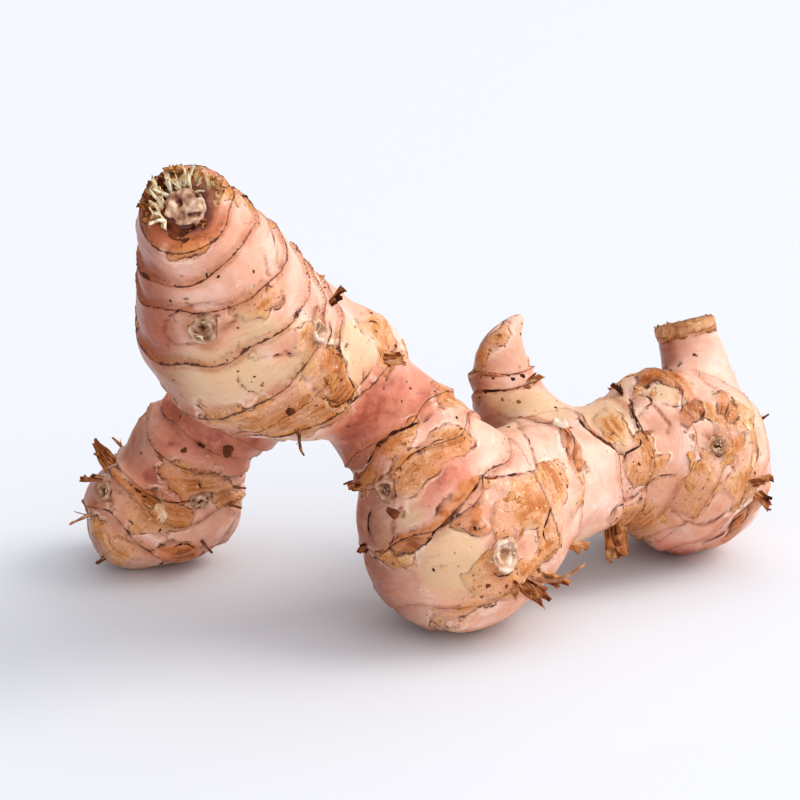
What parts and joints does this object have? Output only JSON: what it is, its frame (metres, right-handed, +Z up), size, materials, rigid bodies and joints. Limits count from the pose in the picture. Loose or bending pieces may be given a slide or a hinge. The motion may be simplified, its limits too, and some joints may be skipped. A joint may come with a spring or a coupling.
{
  "type": "galangal root",
  "caption": "Fresh galangal rhizome with ringed knobbly lobes, a pointed bud, a cut stem stub and papery scale remnants, resting on three lobes",
  "frame": {"origin": "under the middle of the rhizome's box, on the surface that it lies on", "axes": "+X runs along the rhizome from the low end lobe to the lobe with the stem stub, +Y is the far side, +Z is up"},
  "size_m": [0.1462, 0.098, 0.0959],
  "materials": {
    "rhizome_skin": "moist thin pale pink and cream skin with orange-brown papery scale remnants and dark ring scars"
  },
  "bodies": {
    "root": {"rhizome": "rhizome_skin"}
  },
  "joints": []
}
